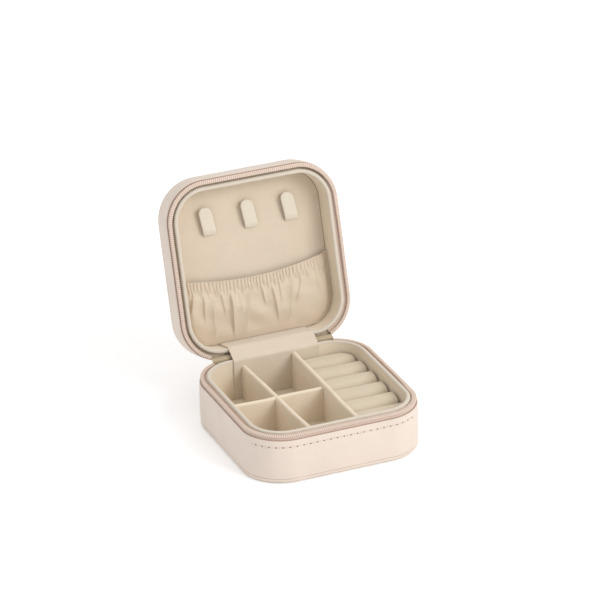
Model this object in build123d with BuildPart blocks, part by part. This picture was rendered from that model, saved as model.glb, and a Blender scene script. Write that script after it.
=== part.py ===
"""Travel jewelry box: a soft square case whose two halves fold open on a leather spine."""

import os
from math import cos, radians, sin

from build123d import *

os.makedirs("parts", exist_ok=True)

# ---- Driving dimensions, in mm ----
case_width = 100.0          # across X and across Y
corner_radius = 23.0        # of the outer skin, seen from above
case_height = 45.5          # closed, base and lid together
hinge_y = 48.85             # the spine folds along this line
hinge_z = 28.1              # and the two halves meet at this height
lid_angle = 106.0           # the lid stands this far open

skin = 0.9                  # leather
base_skin_top = 25.7
lid_skin_edge = 2 * hinge_z - base_skin_top
lip_height = 2.6            # turned edge of the bottom and top panels
board = 1.5                 # flat boards
tape = 0.5                  # zip tape
tape_depth = 11.7           # how far the tape runs down behind the skin
liner_outset = 4.0          # outer face of the padded liner, from the skin's face
liner_thickness = 2.3
liner_inset = liner_outset + liner_thickness
base_rim = 28.6
rim_round = 1.0
lid_rim = 28.95
floor_top = 5.4
lid_panel_face = 42.3
lid_panel_thickness = 0.9

coil_outset = 0.5           # zip coil, from the skin's face
coil_width = 1.8
coil_height = 1.55
mesh_gap = 0.15             # from the coil to the meeting plane
zip_end_x = 35.5            # the zip stops this far each side of the middle at the back

spine_width = 54.0
strip_thickness = 0.4
backing_thickness = 0.3
backing_y = 47.5
flap_width = 50.0
flap_thickness = 0.7

divider_thickness = 2.6
grid_top = 25.2
ring_divider_top = 27.2
divider_centre_x = -17.3
divider_centre_lean = 2.5   # degrees, the soft divider stands a little askew
divider_cross_y = 1.6
divider_ring_x = 10.3

ring_bed_top = 12.0
roll_radius = 6.6
roll_top = 22.8
roll_pitch = 13.8
roll_first_y = 36.4
roll_count = 6
roll_end_gap = 1.4

tab_width = 7.6
tab_foot_y = -17.3
tab_tip_y = -33.2
tab_thickness = 1.4
tab_stand_off = 2.6
tab_places = (-23.6, 0.9, 24.6)

pocket_thickness = 0.7
pocket_foot_y = 42.3

slider_start_x = 28.4
slider_end_x = 35.0
slider_height = 2.5
pull_axis_y = 51.9
pull_axis_z = 24.4
pull_pin_radius = 0.4
pull_knuckle_radius = 1.0
pull_bore_radius = 0.48
pull_length = 16.0
pull_width = 5.2
pull_thickness = 0.9

# ---- Derived sizes ----
half = case_width / 2
inner = half - liner_inset
hinge = Axis((0, hinge_y, hinge_z), (1, 0, 0))


# ---- Shared shapes ----
def outline(inset):
    """A rounded square set in from the outer skin; used inside a BuildSketch."""
    side = case_width - 2 * inset
    return RectangleRounded(side, side, corner_radius - inset)


def band(outer, within, low, high):
    """An upright wall that follows the case, between two insets and two heights."""
    with BuildPart() as wall:
        with BuildSketch(Plane.XY.offset(low)):
            outline(outer)
            with BuildSketch(mode=Mode.SUBTRACT):
                outline(within)
        extrude(amount=high - low)
    return wall.part


def slab(inset, low, high):
    """A flat panel of the case's outline."""
    with BuildPart() as panel:
        with BuildSketch(Plane.XY.offset(low)):
            outline(inset)
        extrude(amount=high - low)
    return panel.part


def back_gap(low, high):
    """The block cleared from the zip at the back, where the spine takes over."""
    with BuildPart() as block:
        with BuildSketch(Plane.XY.offset(low)):
            with Locations((0, half)):
                Rectangle(2 * zip_end_x, 20)
        extrude(amount=high - low)
    return block.part


def opened(y, z):
    """Where a point of the closed lid stands when the lid is open: (y, z)."""
    turn = radians(lid_angle)
    out, up = y - hinge_y, z - hinge_z
    return hinge_y + out * cos(turn) + up * sin(turn), hinge_z - out * sin(turn) + up * cos(turn)


def write(piece, node):
    """Labels a finished piece and writes it as one node."""
    piece.label = node
    export_step(piece, f"parts/{node}.step")


def write_on_lid(piece, node):
    """A lid piece is drawn closed and written standing open."""
    write(piece.rotate(hinge, -lid_angle), node)


# ---- Base: leather, boards, zip ----
with BuildPart() as base_bottom_cover:
    add(slab(0, 0, skin))
    fillet(base_bottom_cover.edges().group_by(Axis.Z)[0], 0.6)
    add(band(0, skin, skin, lip_height))
write(base_bottom_cover.part, "base_bottom_cover")

with BuildPart() as base_side_cover:
    add(band(0, skin, lip_height, base_skin_top))
write(base_side_cover.part, "base_side_cover")

with BuildPart() as base_bottom_board:
    add(slab(skin, skin, skin + board))
write(base_bottom_board.part, "base_bottom_board")

base_tape_low = base_skin_top - tape_depth
with BuildPart() as base_wall_board:
    add(band(skin, liner_outset, skin + board, base_tape_low))
    add(band(skin + tape, liner_outset, base_tape_low, base_skin_top - 0.5))
write(base_wall_board.part, "base_wall_board")

base_coil_low = hinge_z - mesh_gap - coil_height
with BuildPart() as base_zip_tape:
    add(band(skin, skin + tape, base_tape_low, base_coil_low))
    add(back_gap(0, base_rim), mode=Mode.SUBTRACT)
write(base_zip_tape.part, "base_zip_tape")

with BuildPart() as base_zip_coil:
    add(band(coil_outset, coil_outset + coil_width, base_coil_low, hinge_z - mesh_gap))
    fillet(base_zip_coil.edges().group_by(Axis.Z)[-1], 0.4)
    add(back_gap(0, base_rim), mode=Mode.SUBTRACT)
write(base_zip_coil.part, "base_zip_coil")

# ---- Base: padded liner and floor ----
with BuildPart() as base_liner_wall:
    add(band(liner_outset, liner_inset, skin + board, base_rim))
    fillet(base_liner_wall.edges().group_by(Axis.Z)[-1], rim_round)
write(base_liner_wall.part, "base_liner_wall")

with BuildPart() as base_floor_pad:
    add(slab(liner_inset, skin + board, floor_top))
write(base_floor_pad.part, "base_floor_pad")

# ---- Dividers: two that cross in the left half, and one beside the rings ----
divider_back_y = inner - flap_thickness
lap_height = (floor_top + grid_top) / 2
left_of_rings = divider_ring_x - divider_thickness / 2

with BuildPart() as divider_centre:
    with BuildSketch(Plane.XY.offset(floor_top)):
        with Locations((divider_centre_x, 0)):
            Rectangle(divider_thickness, 2 * half, rotation=divider_centre_lean)
        with Locations((0, (divider_back_y - inner) / 2)):
            Rectangle(2 * half, divider_back_y + inner, mode=Mode.INTERSECT)
    extrude(amount=grid_top - floor_top)
    long_edges = divider_centre.edges().group_by(Axis.Z)[-1].sort_by(Edge.length)[-2:]
    fillet(long_edges, divider_thickness * 0.4)
    with BuildSketch(Plane.XY.offset(lap_height)):
        with Locations((divider_centre_x, divider_cross_y)):
            Rectangle(3 * divider_thickness, divider_thickness)
    extrude(amount=grid_top - lap_height, mode=Mode.SUBTRACT)
write(divider_centre.part, "divider_centre")

with BuildPart() as divider_cross:
    with BuildSketch(Plane.XY.offset(floor_top)):
        with Locations(((left_of_rings - inner) / 2, divider_cross_y)):
            Rectangle(left_of_rings + inner, divider_thickness)
    extrude(amount=grid_top - floor_top)
    long_edges = divider_cross.edges().group_by(Axis.Z)[-1].sort_by(Edge.length)[-2:]
    fillet(long_edges, divider_thickness * 0.4)
    with BuildSketch(Plane.XY.offset(floor_top)):
        with Locations((divider_centre_x, 0)):
            Rectangle(divider_thickness, 2 * half, rotation=divider_centre_lean)
    extrude(amount=lap_height - floor_top, mode=Mode.SUBTRACT)
write(divider_cross.part, "divider_cross")

with BuildPart() as divider_ring:
    with BuildSketch(Plane.XY.offset(floor_top)):
        with Locations((divider_ring_x, (divider_back_y - inner) / 2)):
            Rectangle(divider_thickness, divider_back_y + inner)
    extrude(amount=ring_divider_top - floor_top)
    long_edges = divider_ring.edges().group_by(Axis.Z)[-1].sort_by(Edge.length)[-2:]
    fillet(long_edges, divider_thickness * 0.4)
write(divider_ring.part, "divider_ring")

# ---- Ring holder: a foam bed with six rolls laid across it ----
right_of_divider = divider_ring_x + divider_thickness / 2
with BuildPart() as ring_bed:
    with BuildSketch(Plane.XY.offset(floor_top)):
        outline(liner_inset)
        with Locations(((right_of_divider + half) / 2, (divider_back_y - inner) / 2)):
            Rectangle(half - right_of_divider, divider_back_y + inner, mode=Mode.INTERSECT)
    extrude(amount=ring_bed_top - floor_top)
write(ring_bed.part, "ring_bed")

roll_axis_z = roll_top - roll_radius
for number in range(roll_count):
    roll_y = roll_first_y - number * roll_pitch
    with BuildPart() as ring_roll:
        with BuildSketch(Plane.YZ.offset(right_of_divider)):
            with Locations((roll_y, roll_axis_z)):
                Circle(roll_radius)
            with Locations((roll_y, ring_bed_top + roll_radius)):
                Rectangle(2 * roll_radius, 2 * roll_radius, mode=Mode.INTERSECT)
        extrude(amount=inner - right_of_divider)
        with BuildSketch():
            outline(liner_inset + roll_end_gap)
        extrude(amount=base_rim, mode=Mode.INTERSECT)
    write(ring_roll.part, f"ring_roll_{number + 1}")

# ---- Lid: leather, boards, zip ----
with BuildPart() as lid_top_cover:
    add(slab(0, case_height - skin, case_height))
    fillet(lid_top_cover.edges().group_by(Axis.Z)[-1], 0.7)
    add(band(0, skin, case_height - lip_height, case_height - skin))
write_on_lid(lid_top_cover.part, "lid_top_cover")

with BuildPart() as lid_side_cover:
    add(band(0, skin, lid_skin_edge, case_height - lip_height))
write_on_lid(lid_side_cover.part, "lid_side_cover")

lid_board_low = lid_panel_face + lid_panel_thickness
with BuildPart() as lid_top_board:
    add(slab(skin, lid_board_low, case_height - skin))
write_on_lid(lid_top_board.part, "lid_top_board")

lid_tape_high = lid_skin_edge + 9.0
with BuildPart() as lid_wall_board:
    add(band(skin + tape, liner_outset, lid_skin_edge + 0.5, lid_tape_high))
    add(band(skin, liner_outset, lid_tape_high, lid_board_low))
write_on_lid(lid_wall_board.part, "lid_wall_board")

lid_coil_high = hinge_z + mesh_gap + coil_height
with BuildPart() as lid_zip_tape:
    add(band(skin, skin + tape, lid_coil_high, lid_tape_high))
    add(back_gap(hinge_z, lid_tape_high), mode=Mode.SUBTRACT)
write_on_lid(lid_zip_tape.part, "lid_zip_tape")

with BuildPart() as lid_zip_coil:
    add(band(coil_outset, coil_outset + coil_width, hinge_z + mesh_gap, lid_coil_high))
    fillet(lid_zip_coil.edges().group_by(Axis.Z)[0], 0.4)
    add(back_gap(hinge_z, lid_tape_high), mode=Mode.SUBTRACT)
write_on_lid(lid_zip_coil.part, "lid_zip_coil")

# ---- Lid: padded liner and panel ----
with BuildPart() as lid_liner_wall:
    add(band(liner_outset, liner_inset, lid_rim, lid_panel_face))
    fillet(lid_liner_wall.edges().group_by(Axis.Z)[0], rim_round)
write_on_lid(lid_liner_wall.part, "lid_liner_wall")

with BuildPart() as lid_panel:
    add(slab(liner_outset, lid_panel_face, lid_board_low))
write_on_lid(lid_panel.part, "lid_panel")

# ---- Necklace tabs: tongues sewn down at the foot and free at the tip ----
tab_face = lid_panel_face - tab_thickness / 2
for number, tab_x in enumerate(tab_places):
    with BuildPart() as hook_tab:
        with BuildSketch(Plane.YZ.offset(tab_x)):
            with BuildLine():
                FilletPolyline(
                    (tab_foot_y, tab_face),
                    (tab_foot_y - 3.5, tab_face),
                    (tab_foot_y - 7.5, tab_face - tab_stand_off),
                    (tab_tip_y - 1, tab_face - tab_stand_off),
                    radius=4.0,
                )
            trace(line_width=tab_thickness)
        extrude(amount=tab_width / 2, both=True)
        with BuildSketch(Plane.XY.offset(hinge_z)):
            with Locations((tab_x, tab_tip_y + tab_width / 2)):
                Circle(tab_width / 2)
            with Locations((tab_x, (tab_tip_y + tab_width / 2 + tab_foot_y) / 2)):
                Rectangle(tab_width, tab_foot_y - tab_tip_y - tab_width / 2)
        extrude(amount=lid_panel_face - hinge_z, mode=Mode.INTERSECT)
    write_on_lid(hook_tab.part, f"hook_tab_{number + 1}")

# ---- Gathered pocket: swells off the panel, its mouth sags between the sides ----
with BuildPart() as pocket:
    with BuildSketch(Plane.YZ):
        with BuildLine():
            FilletPolyline(
                (-2, 39.7),
                (12, 39.0),
                (24, 37.6),
                (36, 38.6),
                (pocket_foot_y - 1.2, lid_panel_face - pocket_thickness / 2),
                (pocket_foot_y + 0.4, lid_panel_face - pocket_thickness / 2),
                radius=(12, 12, 8, 1),
            )
        trace(line_width=pocket_thickness)
    extrude(amount=half, both=True)
    with BuildSketch(Plane.XY.offset(hinge_z)):
        with BuildLine():
            mouth = ThreePointArc((-half, 3.4), (-2, 9.1), (half, 1.6))
            Polyline(mouth @ 1, (half, half), (-half, half), mouth @ 0)
        make_face()
        with BuildSketch(mode=Mode.INTERSECT):
            outline(liner_inset)
    extrude(amount=lid_panel_face - hinge_z, mode=Mode.INTERSECT)
write_on_lid(pocket.part, "pocket")

# ---- Hinge: leather spine outside, cloth backing behind it, velvet flap over the rims ----
strip_y = half - skin - tape / 2
strip_end = opened(strip_y, lid_skin_edge + 4.5)
with BuildPart() as hinge_spine:
    with BuildSketch(Plane.YZ):
        with BuildLine():
            FilletPolyline(
                (strip_y, base_tape_low + 2),
                opened(hinge_y, hinge_z),
                strip_end,
                radius=1.0,
            )
        trace(line_width=strip_thickness)
    extrude(amount=spine_width / 2, both=True)
write(hinge_spine.part, "hinge_spine")

with BuildPart() as hinge_backing:
    with BuildSketch(Plane.YZ):
        with BuildLine():
            FilletPolyline(
                (backing_y, base_skin_top + 0.05),
                (backing_y, hinge_z + 0.5),
                opened(backing_y, hinge_z + 0.5),
                opened(backing_y, lid_skin_edge - 0.05),
                radius=0.5,
            )
        trace(line_width=backing_thickness)
    extrude(amount=zip_end_x, both=True)
write(hinge_backing.part, "hinge_backing")

flap_y = inner - flap_thickness / 2
with BuildPart() as hinge_flap:
    with BuildSketch(Plane.YZ):
        with BuildLine():
            FilletPolyline(
                (flap_y, floor_top),
                (flap_y, base_rim - 0.15),
                opened(flap_y, lid_rim + 0.35),
                opened(flap_y, lid_panel_face - 0.1),
                radius=rim_round + flap_thickness / 2,
            )
        trace(line_width=flap_thickness)
    extrude(amount=flap_width / 2, both=True)
write(hinge_flap.part, "hinge_flap")

# ---- Zip slider, parked behind the backing at the zip's end, and its puller ----
slider_mid_x = (slider_start_x + slider_end_x) / 2
slider_length = slider_end_x - slider_start_x
post_width = 0.6
knuckle_length = 2.8
post_gap = knuckle_length + 0.4
with BuildPart() as zip_slider:
    with BuildSketch(Plane.XY.offset(base_skin_top + 0.25)):
        with Locations((slider_mid_x, (47.75 + 50.5) / 2)):
            RectangleRounded(slider_length, 50.5 - 47.75, 0.5)
    extrude(amount=slider_height)
    with BuildSketch(Plane.XY.offset(pull_axis_z - 1.2)):
        with Locations((slider_mid_x, 50.28)):
            Rectangle(slider_length, 0.44)
    extrude(amount=3.0)
    for side in (-1, 1):
        post_x = slider_mid_x + side * (post_gap + post_width) / 2
        with BuildSketch(Plane.YZ.offset(post_x)):
            with Locations((pull_axis_y, pull_axis_z)):
                Circle(0.8)
            with Locations(((pull_axis_y + 50.3) / 2, pull_axis_z)):
                Rectangle(pull_axis_y - 50.3, 1.4)
        extrude(amount=post_width / 2, both=True)
    with BuildSketch(Plane.YZ.offset(slider_mid_x)):
        with Locations((pull_axis_y, pull_axis_z)):
            Circle(pull_pin_radius)
    extrude(amount=post_gap / 2 + post_width / 2, both=True)
write(zip_slider.part, "zip_slider")

with BuildPart() as zip_puller:
    with BuildSketch(Plane.XZ.offset(-pull_axis_y)):
        with Locations((slider_mid_x, pull_axis_z - pull_length / 2)):
            SlotOverall(pull_length, pull_width, rotation=90)
        with Locations((slider_mid_x, pull_axis_z)):
            Rectangle(pull_width + 1, 2 * pull_knuckle_radius + 3, mode=Mode.SUBTRACT)
        with Locations((slider_mid_x, pull_axis_z - pull_length + pull_width / 2)):
            Circle(1.2, mode=Mode.SUBTRACT)
    extrude(amount=pull_thickness / 2, both=True)
    with BuildSketch(Plane.XZ.offset(-pull_axis_y)):
        with Locations((slider_mid_x, pull_axis_z - 1.6)):
            Rectangle(knuckle_length, 3.2)
    extrude(amount=pull_thickness / 2, both=True)
    with BuildSketch(Plane.YZ.offset(slider_mid_x)):
        with Locations((pull_axis_y, pull_axis_z)):
            Circle(pull_knuckle_radius)
    extrude(amount=knuckle_length / 2, both=True)
    with BuildSketch(Plane.YZ.offset(slider_mid_x)):
        with Locations((pull_axis_y, pull_axis_z)):
            Circle(pull_bore_radius)
    extrude(amount=knuckle_length, both=True, mode=Mode.SUBTRACT)
write(zip_puller.part, "zip_puller")
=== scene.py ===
"""Travel jewelry box: leather shells on a zip, velvet lining, ring rolls, tabs and gathered pocket.

Shapes are worked out in millimetres with the lid closed, and turned open and put into metres as
each mesh is made. The box stands on z = 0 with its hinge towards +Y.
"""

import math

import bmesh
import bpy
import numpy as np
from bpy.props import FloatProperty, FloatVectorProperty, PointerProperty
from mathutils import Matrix


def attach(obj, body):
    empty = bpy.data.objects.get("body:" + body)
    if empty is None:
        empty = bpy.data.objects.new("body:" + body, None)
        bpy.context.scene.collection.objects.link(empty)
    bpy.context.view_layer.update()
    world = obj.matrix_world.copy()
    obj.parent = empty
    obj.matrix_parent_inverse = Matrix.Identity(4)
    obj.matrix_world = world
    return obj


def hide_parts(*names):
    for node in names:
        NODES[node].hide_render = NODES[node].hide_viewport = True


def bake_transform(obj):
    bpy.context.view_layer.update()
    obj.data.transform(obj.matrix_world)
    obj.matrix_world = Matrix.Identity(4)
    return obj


bl_info = {
    "name": "Travel Jewelry Box",
    "version": (1, 0, 0),
    "blender": (4, 5, 0),
    "location": "View3D > Sidebar > Jewelry Box",
    "description": "Leather jewelry box with zip, velvet lining, ring rolls and a gathered pocket",
    "category": "Object",
}

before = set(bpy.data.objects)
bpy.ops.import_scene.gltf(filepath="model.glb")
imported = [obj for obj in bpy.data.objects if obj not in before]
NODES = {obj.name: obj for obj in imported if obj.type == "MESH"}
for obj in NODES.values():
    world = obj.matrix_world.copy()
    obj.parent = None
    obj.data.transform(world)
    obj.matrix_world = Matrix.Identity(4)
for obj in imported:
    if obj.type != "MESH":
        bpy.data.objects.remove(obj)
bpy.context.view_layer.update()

# ---- Sizes of the case, in millimetres ----
MM = 0.001
CORNER = 23.0
STRAIGHT = 27.0
HALF = CORNER + STRAIGHT
HINGE_Y, HINGE_Z = 48.85, 28.1
LID_ANGLE = math.radians(106.0)
SKIN = 0.9
LIP_HEIGHT = 2.6
LEATHER_TOP = 25.1
MIRROR_Z = 2 * HINGE_Z
CASE_HEIGHT = 45.5
COIL_LOW, COIL_HIGH = 26.4, 27.95
LINER_OUT, LINER_IN = 4.0, 6.3
INNER = HALF - LINER_IN
BASE_RIM, LID_RIM = 28.6, 28.95
FLOOR_LOW, FLOOR_TOP = 2.4, 5.4
PANEL_FACE = 42.3
ZIP_END = 35.5
TAPE_DEPTH_LOW = 14.0
TAPE_DEPTH_HIGH = MIRROR_Z - 39.5
BASE_LEAN, LID_LEAN = 0.9, 0.4
BASE_FACING, GROOVE_SHADE_TOP = 26.7, 25.2
LID_FACING = (24.9, 26.2, 0.61)
ROLLS = 6
TAB_PLACES = (-23.6, 0.9, 24.6)


# ---- Curves and surfaces ----
def to_mm(length):
    """A length property, kept in metres, as millimetres."""
    return length / MM


def outline_length(inset):
    """Length of the case outline set in by inset: four sides and four quarter circles."""
    return 8 * STRAIGHT + 2 * math.pi * (CORNER - inset)


def walk(inset, along):
    """Points and outward directions at distances along the outline set in by inset.

    The outline is four equal quarters, each a straight side then a corner arc. The first starts at
    the right end of the back, and each later quarter is the first turned a further 90 degrees.
    Distance 0 is the middle of the back, and it grows by the left side, the front and the right.
    """
    radius = CORNER - inset
    quarter = 2 * STRAIGHT + math.pi * radius / 2
    distance = (np.asarray(along, float) + STRAIGHT) % (4 * quarter)
    turns = np.floor(distance / quarter)
    rest = distance - turns * quarter
    angle = np.clip((rest - 2 * STRAIGHT) / radius, 0, None)
    x = np.where(rest < 2 * STRAIGHT, STRAIGHT - rest, -STRAIGHT - radius * np.sin(angle))
    y = STRAIGHT + radius * np.cos(angle)
    c, s = np.cos(turns * np.pi / 2), np.sin(turns * np.pi / 2)
    point = np.stack([x * c - y * s, x * s + y * c], -1)
    outward = np.stack([-np.sin(angle) * c - np.cos(angle) * s,
                        -np.sin(angle) * s + np.cos(angle) * c], -1)
    return point, outward


def whole_round(inset, step):
    """Distances once round the outline, the first place repeated at the end."""
    length = outline_length(inset)
    return np.linspace(0, length, int(round(length / step)) + 1)


def carry(inset, z, along, reference=0.0, shrink=1.0):
    """A profile carried round the case: each point is the outline point less inset times the
    outward direction, all times shrink, at height z. Insets and heights may change along the
    way."""
    point, outward = walk(reference, along)
    inset = np.asarray(inset, float)
    inset = np.broadcast_to(inset, (len(along), inset.shape[-1]))
    z = np.broadcast_to(z, inset.shape)
    flat = point[:, None] - (inset - reference)[..., None] * outward[:, None]
    flat = flat * np.broadcast_to(shrink, inset.shape)[..., None]
    return np.concatenate([flat, z[..., None]], -1)


def stand_open(points):
    """Turns closed-lid points about the hinge line by the lid's angle."""
    out, up = points[..., 1] - HINGE_Y, points[..., 2] - HINGE_Z
    c, s = math.cos(LID_ANGLE), math.sin(LID_ANGLE)
    return np.stack([points[..., 0], HINGE_Y + out * c + up * s, HINGE_Z - out * s + up * c], -1)


def arc(centre_a, centre_b, radius, start, end, count):
    """Points of a circular arc from start to end, in degrees."""
    angle = np.radians(np.linspace(start, end, count))
    return np.stack([centre_a + radius * np.cos(angle), centre_b + radius * np.sin(angle)], -1)


def line(start, end, count):
    """Evenly spaced points of a straight line, its start left out."""
    return np.linspace(start, end, count + 1)[1:]


def ease(value):
    """0 below 0, 1 above 1, and a smooth step between."""
    t = np.clip(value, 0, 1)
    return t * t * (3 - 2 * t)


def ripple(turn, height, seed, waves=7):
    """Soft unevenness from -1 to 1: a mean of sine waves that close on themselves round the case,
    with drawn wave numbers round it, slopes up it and phases."""
    draw = np.random.default_rng(seed)
    total = np.zeros(np.broadcast(turn, height).shape)
    for _ in range(waves):
        around, up, phase = draw.integers(2, 13), draw.uniform(-0.25, 0.25), draw.uniform(0,
                                                                                          2 * np.pi)
        total += np.sin(around * turn + up * height + phase)
    return total / waves


def unevenness(x, y, seed, length, waves=8):
    """Soft unevenness from about -1 to 1 over a flat place: sine waves of drawn directions and
    phases, with wave lengths near length."""
    draw = np.random.default_rng(seed)
    total = np.zeros(np.broadcast(x, y).shape)
    for _ in range(waves):
        direction, phase = draw.uniform(0, 2 * np.pi, 2)
        size = 2 * np.pi / (length * draw.uniform(0.7, 1.6))
        total += np.sin(size * (x * np.cos(direction) + y * np.sin(direction)) + phase)
    return total / 4


# ---- Meshes ----
def make_piece(name, grids, material, uv=None, crease=50.0, closed=True):
    """One object from grids of points in millimetres, of shape (rows, columns, 3) or
    (n, rows, columns, 3).

    Neighbouring points make four-cornered faces, points that meet are merged so that seams and
    poles close, and closed pieces have their faces turned outwards.
    """
    corners, faces, places, first = [], [], [], 0
    for number, grid in enumerate(grids):
        grid = grid if grid.ndim == 4 else grid[None]
        copies, rows, columns = grid.shape[:3]
        i, j = np.meshgrid(np.arange(rows - 1), np.arange(columns - 1), indexing="ij")
        low = i * columns + j
        quad = np.stack([low, low + columns, low + columns + 1, low + 1], -1).reshape(-1, 4)
        quad = (quad[None] + np.arange(copies)[:, None, None] * rows * columns).reshape(-1, 4)
        corners.append(grid.reshape(-1, 3))
        faces.append(quad + first)
        place = np.zeros(grid.shape[:3] + (2,)) if uv is None or uv[number] is None else uv[number]
        places.append(np.broadcast_to(place, grid.shape[:3] + (2,)).reshape(-1, 2))
        first += grid.size // 3
    corners, faces, places = np.concatenate(corners), np.concatenate(faces), np.concatenate(places)
    mesh = bpy.data.meshes.new(name)
    mesh.from_pydata((corners * MM).tolist(), [], faces.tolist())
    layer = mesh.uv_layers.new(name="UVMap")
    layer.data.foreach_set("uv", (places[faces.reshape(-1)] * MM).ravel().astype(np.float32))
    work = bmesh.new()
    work.from_mesh(mesh)
    bmesh.ops.remove_doubles(work, verts=work.verts, dist=1e-7)
    if closed:
        bmesh.ops.recalc_face_normals(work, faces=work.faces)
    work.to_mesh(mesh)
    work.free()
    mesh.shade_smooth()
    mesh.set_sharp_from_angle(angle=math.radians(crease))
    mesh.materials.append(material)
    piece = bpy.data.objects.new(name, mesh)
    bpy.context.scene.collection.objects.link(piece)
    return piece


def with_ends(grid):
    """Closes the two ends of a tube of rows, each by a row that meets in the end's middle."""
    first = np.broadcast_to(grid[:1, :-1].mean(1, keepdims=True), grid[:1].shape)
    last = np.broadcast_to(grid[-1:, :-1].mean(1, keepdims=True), grid[-1:].shape)
    return np.concatenate([first, grid, last])


def directions(grid):
    """Unit directions square to a surface, from the cross product of its two runs."""
    cross = np.cross(np.gradient(grid, axis=0), np.gradient(grid, axis=1))
    return cross / np.linalg.norm(cross, axis=-1, keepdims=True)


def thick_sheet(grid, thickness):
    """A sheet's surface moved half its thickness to each side, joined round its four edges."""
    half = directions(grid) * (np.asarray(thickness) / 2)[..., None]
    front, back = grid + half, grid - half
    round_grid = np.concatenate([front, back[:, ::-1], front[:, :1]], 1)
    ends = [np.stack([front[0], back[0]]), np.stack([front[-1], back[-1]])]
    return [round_grid, *ends]


def sheet_uv(places):
    """The sheet's own flat places for the surfaces of thick_sheet."""
    round_places = np.concatenate([places, places[:, ::-1], places[:, :1]], 1)
    return [round_places, np.stack([places[0], places[0]]), np.stack([places[-1], places[-1]])]


def place(piece, body, nodes, slot=None):
    """Rides a piece on its body, in place of its CAD nodes. Its slot is not used."""
    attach(piece, body)
    if nodes:
        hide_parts(*nodes)
    return piece


# ---- Shader building ----
def add(tree, kind, inputs=None, **settings):
    """A shader node with its settings, and its inputs given as values or as sockets to link."""
    made = tree.nodes.new(kind)
    for key, value in settings.items():
        setattr(made, key, value)
    for key, value in (inputs or {}).items():
        if isinstance(value, bpy.types.NodeSocket):
            tree.links.new(value, made.inputs[key])
        else:
            made.inputs[key].default_value = value
    return made


def maths(tree, operation, *values):
    """The result of a Math node."""
    return add(tree, "ShaderNodeMath", dict(enumerate(values)), operation=operation).outputs[0]


def new_group(name, inputs):
    """A shader node group with a Vector and number inputs, and the outputs Height and Tone."""
    group = bpy.data.node_groups.new(name, "ShaderNodeTree")
    group.interface.new_socket("Vector", in_out="INPUT", socket_type="NodeSocketVector")
    for key, value in inputs.items():
        socket = group.interface.new_socket(key, in_out="INPUT", socket_type="NodeSocketFloat")
        socket.default_value = value
    for key in ("Height", "Tone"):
        group.interface.new_socket(key, in_out="OUTPUT", socket_type="NodeSocketFloat")
    return group, add(group, "NodeGroupInput").outputs, add(group, "NodeGroupOutput").inputs


def grain_group():
    """Leather: rounded pebbles from cell distance, finer pores over them, and slow changes of
    tone."""
    group, given, out = new_group("Leather grain", {"Scale": 1400.0})
    cells = add(group, "ShaderNodeTexVoronoi", {"Vector": given["Vector"], "Scale": given["Scale"]},
                feature="SMOOTH_F1")
    pores = add(group, "ShaderNodeTexNoise",
                {"Vector": given["Vector"], "Scale": maths(group, "MULTIPLY", given["Scale"], 2.3),
                 "Detail": 3.0})
    slow = add(group, "ShaderNodeTexNoise",
               {"Vector": given["Vector"], "Scale": 45.0, "Detail": 4.0})
    pebble = maths(group, "SUBTRACT", 1.0, cells.outputs["Distance"])
    height = maths(group, "MULTIPLY_ADD", pores.outputs["Fac"], 0.5, pebble)
    fine = maths(group, "MULTIPLY_ADD", cells.outputs["Distance"], -0.35, 0.15)
    tone = maths(group, "ADD", slow.outputs["Fac"], fine)
    group.links.new(height, out["Height"])
    group.links.new(tone, out["Tone"])
    return group


def nap_group():
    """Velvet: very fine nap, and the soft clouds that brushing leaves in it."""
    group, given, out = new_group("Velvet nap", {"Scale": 5200.0})
    nap = add(group, "ShaderNodeTexNoise",
              {"Vector": given["Vector"], "Scale": given["Scale"], "Detail": 2.0})
    fleck = add(group, "ShaderNodeTexNoise",
                {"Vector": given["Vector"], "Scale": maths(group, "MULTIPLY", given["Scale"], 0.22),
                 "Detail": 3.0})
    cloud = add(group, "ShaderNodeTexNoise",
                {"Vector": given["Vector"], "Scale": 110.0, "Detail": 3.0, "Roughness": 0.6})
    mixed = maths(group, "MULTIPLY_ADD", fleck.outputs["Fac"], 0.45,
                  maths(group, "MULTIPLY", cloud.outputs["Fac"], 0.55))
    height = maths(group, "MULTIPLY_ADD", fleck.outputs["Fac"], 0.6, nap.outputs["Fac"])
    group.links.new(height, out["Height"])
    group.links.new(mixed, out["Tone"])
    return group


def weave_group():
    """Cloth: threads over and under each other, from the product of two waves, or a slanted rib
    where Slant is above 0, with uneven yarn. On the zip coil the rib's tone is painted shade between
    the teeth."""
    group, given, out = new_group("Woven threads", {"Pitch": 0.0005, "Slant": 0.0})
    parts = add(group, "ShaderNodeSeparateXYZ", {0: given["Vector"]}).outputs
    step = maths(group, "DIVIDE", 2 * math.pi, given["Pitch"])
    across = maths(group, "MULTIPLY", parts["X"], step)
    up = maths(group, "MULTIPLY", parts["Y"], step)
    plain = maths(group, "MULTIPLY", maths(group, "SINE", across), maths(group, "SINE", up))
    rib = maths(group, "SINE", maths(group, "ADD", across, up))
    slanted = maths(group, "MULTIPLY", rib, given["Slant"])
    straight = maths(group, "MULTIPLY", plain, maths(group, "SUBTRACT", 1.0, given["Slant"]))
    waves = maths(group, "MULTIPLY_ADD", maths(group, "ADD", slanted, straight), 0.5, 0.5)
    yarn = add(group, "ShaderNodeTexNoise",
               {"Vector": given["Vector"], "Scale": 900.0, "Detail": 3.0})
    height = maths(group, "MULTIPLY_ADD", yarn.outputs["Fac"], 0.4, waves)
    tone = maths(group, "MULTIPLY_ADD", waves, 0.6,
                 maths(group, "MULTIPLY", yarn.outputs["Fac"], 0.4))
    group.links.new(height, out["Height"])
    group.links.new(tone, out["Tone"])
    return group


GROUPS = {"grain": grain_group, "nap": nap_group, "weave": weave_group}


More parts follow.
